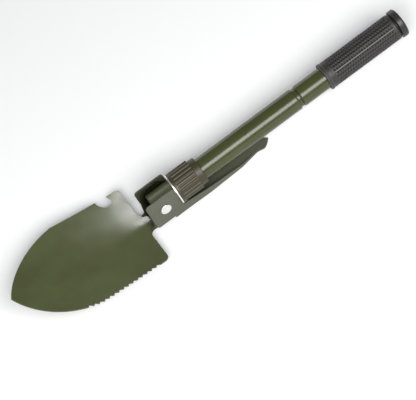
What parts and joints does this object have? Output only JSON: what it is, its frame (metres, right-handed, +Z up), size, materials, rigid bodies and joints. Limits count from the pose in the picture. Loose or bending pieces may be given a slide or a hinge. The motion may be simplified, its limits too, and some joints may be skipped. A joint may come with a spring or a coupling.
{
  "type": "folding camp shovel",
  "caption": "Folding shovel: pointed blade with saw edge and bottle-opener hook, folding pick, locking collar, screw-together tube handle, rubber grip and compass cap.",
  "frame": {"origin": "middle of the object's length and width, on the plane that its lowest point (the pick's tip) touches", "axes": "+X along the handle from the blade to the grip, +Y across along the rivet, +Z up out of the blade's digging face"},
  "size_m": [0.407, 0.0995, 0.0355],
  "materials": {
    "blade_paint": "satin olive powder coat on pressed steel",
    "pick_paint": "satin grey-green powder coat on pressed steel",
    "tube_paint": "gloss olive enamel on steel tube",
    "collar_finish": "satin brown-olive enamel on turned steel",
    "zinc_plate": "bright zinc plate",
    "bare_steel": "oiled bare steel",
    "bronze": "plain turned",
    "grip_rubber": "dimpled moulded rubber",
    "cap_plastic": "satin moulded",
    "dial_white": "printed card",
    "needle_red": "painted needle",
    "lens_clear": "clear polished"
  },
  "bodies": {
    "lower_handle": {"lower_tube": "tube_paint", "hinge_block": "tube_paint", "rivet_bush": "bronze", "hinge_rivet": "zinc_plate", "thread_sleeve": "bare_steel", "joint_stud": "tube_paint"},
    "blade": {"blade": "blade_paint"},
    "pick": {"pick": "pick_paint"},
    "washer": {"lock_washer": "zinc_plate"},
    "collar": {"locking_collar": "collar_finish", "collar_nut": "bare_steel"},
    "joint_ring": {"joint_washer": "grip_rubber"},
    "upper_handle": {"upper_tube": "tube_paint", "joint_socket": "bare_steel", "grip": "grip_rubber", "cap_socket": "bare_steel"},
    "cap_ring": {"cap_seal": "grip_rubber"},
    "cap": {"end_cap": "cap_plastic", "compass_case": "bronze", "compass_dial": "dial_white", "compass_pivot": "bronze", "compass_lens": "lens_clear"},
    "needle": {"compass_needle": "needle_red"}
  },
  "joints": [
    {"name": "blade_fold", "type": "hinge", "parent": "lower_handle", "child": "blade", "pos_m": [-0.0535, 0, 0.0193], "axis": [0, 1, 0], "range_deg": [0, 170]},
    {"name": "pick_fold", "type": "hinge", "parent": "lower_handle", "child": "pick", "pos_m": [-0.0535, 0, 0.0193], "axis": [0, 1, 0], "range_deg": [0, 90]},
    {"name": "washer_slide", "type": "slide", "parent": "lower_handle", "child": "washer", "axis": [1, 0, 0], "range_m": [0, 0.019]},
    {"name": "collar_turn", "type": "hinge", "parent": "washer", "child": "collar", "pos_m": [-0.0265, 0, 0.021], "axis": [1, 0, 0], "range_deg": [0, 2270]},
    {"name": "handle_unscrew", "type": "slide", "parent": "lower_handle", "child": "joint_ring", "axis": [1, 0, 0], "range_m": [0, 0.018]},
    {"name": "handle_turn", "type": "hinge", "parent": "joint_ring", "child": "upper_handle", "pos_m": [0.0965, 0, 0.021], "axis": [1, 0, 0], "range_deg": [0, 3250]},
    {"name": "cap_unscrew", "type": "slide", "parent": "upper_handle", "child": "cap_ring", "axis": [1, 0, 0], "range_m": [0, 0.012]},
    {"name": "cap_turn", "type": "hinge", "parent": "cap_ring", "child": "cap", "pos_m": [0.1985, 0, 0.021], "axis": [1, 0, 0], "range_deg": [0, 2165]},
    {"name": "needle_swing", "type": "hinge", "parent": "cap", "child": "needle", "pos_m": [0.2005, 0, 0.021], "axis": [1, 0, 0], "continuous": true}
  ],
  "couplings": [
    {"joint": "washer_slide", "follows": "pick_fold", "m_per_rad": 0.012},
    {"joint": "collar_turn", "follows": "pick_fold", "ratio": 25.133},
    {"joint": "handle_turn", "follows": "handle_unscrew", "rad_per_m": 3141.6},
    {"joint": "cap_turn", "follows": "cap_unscrew", "rad_per_m": 3141.6}
  ]
}
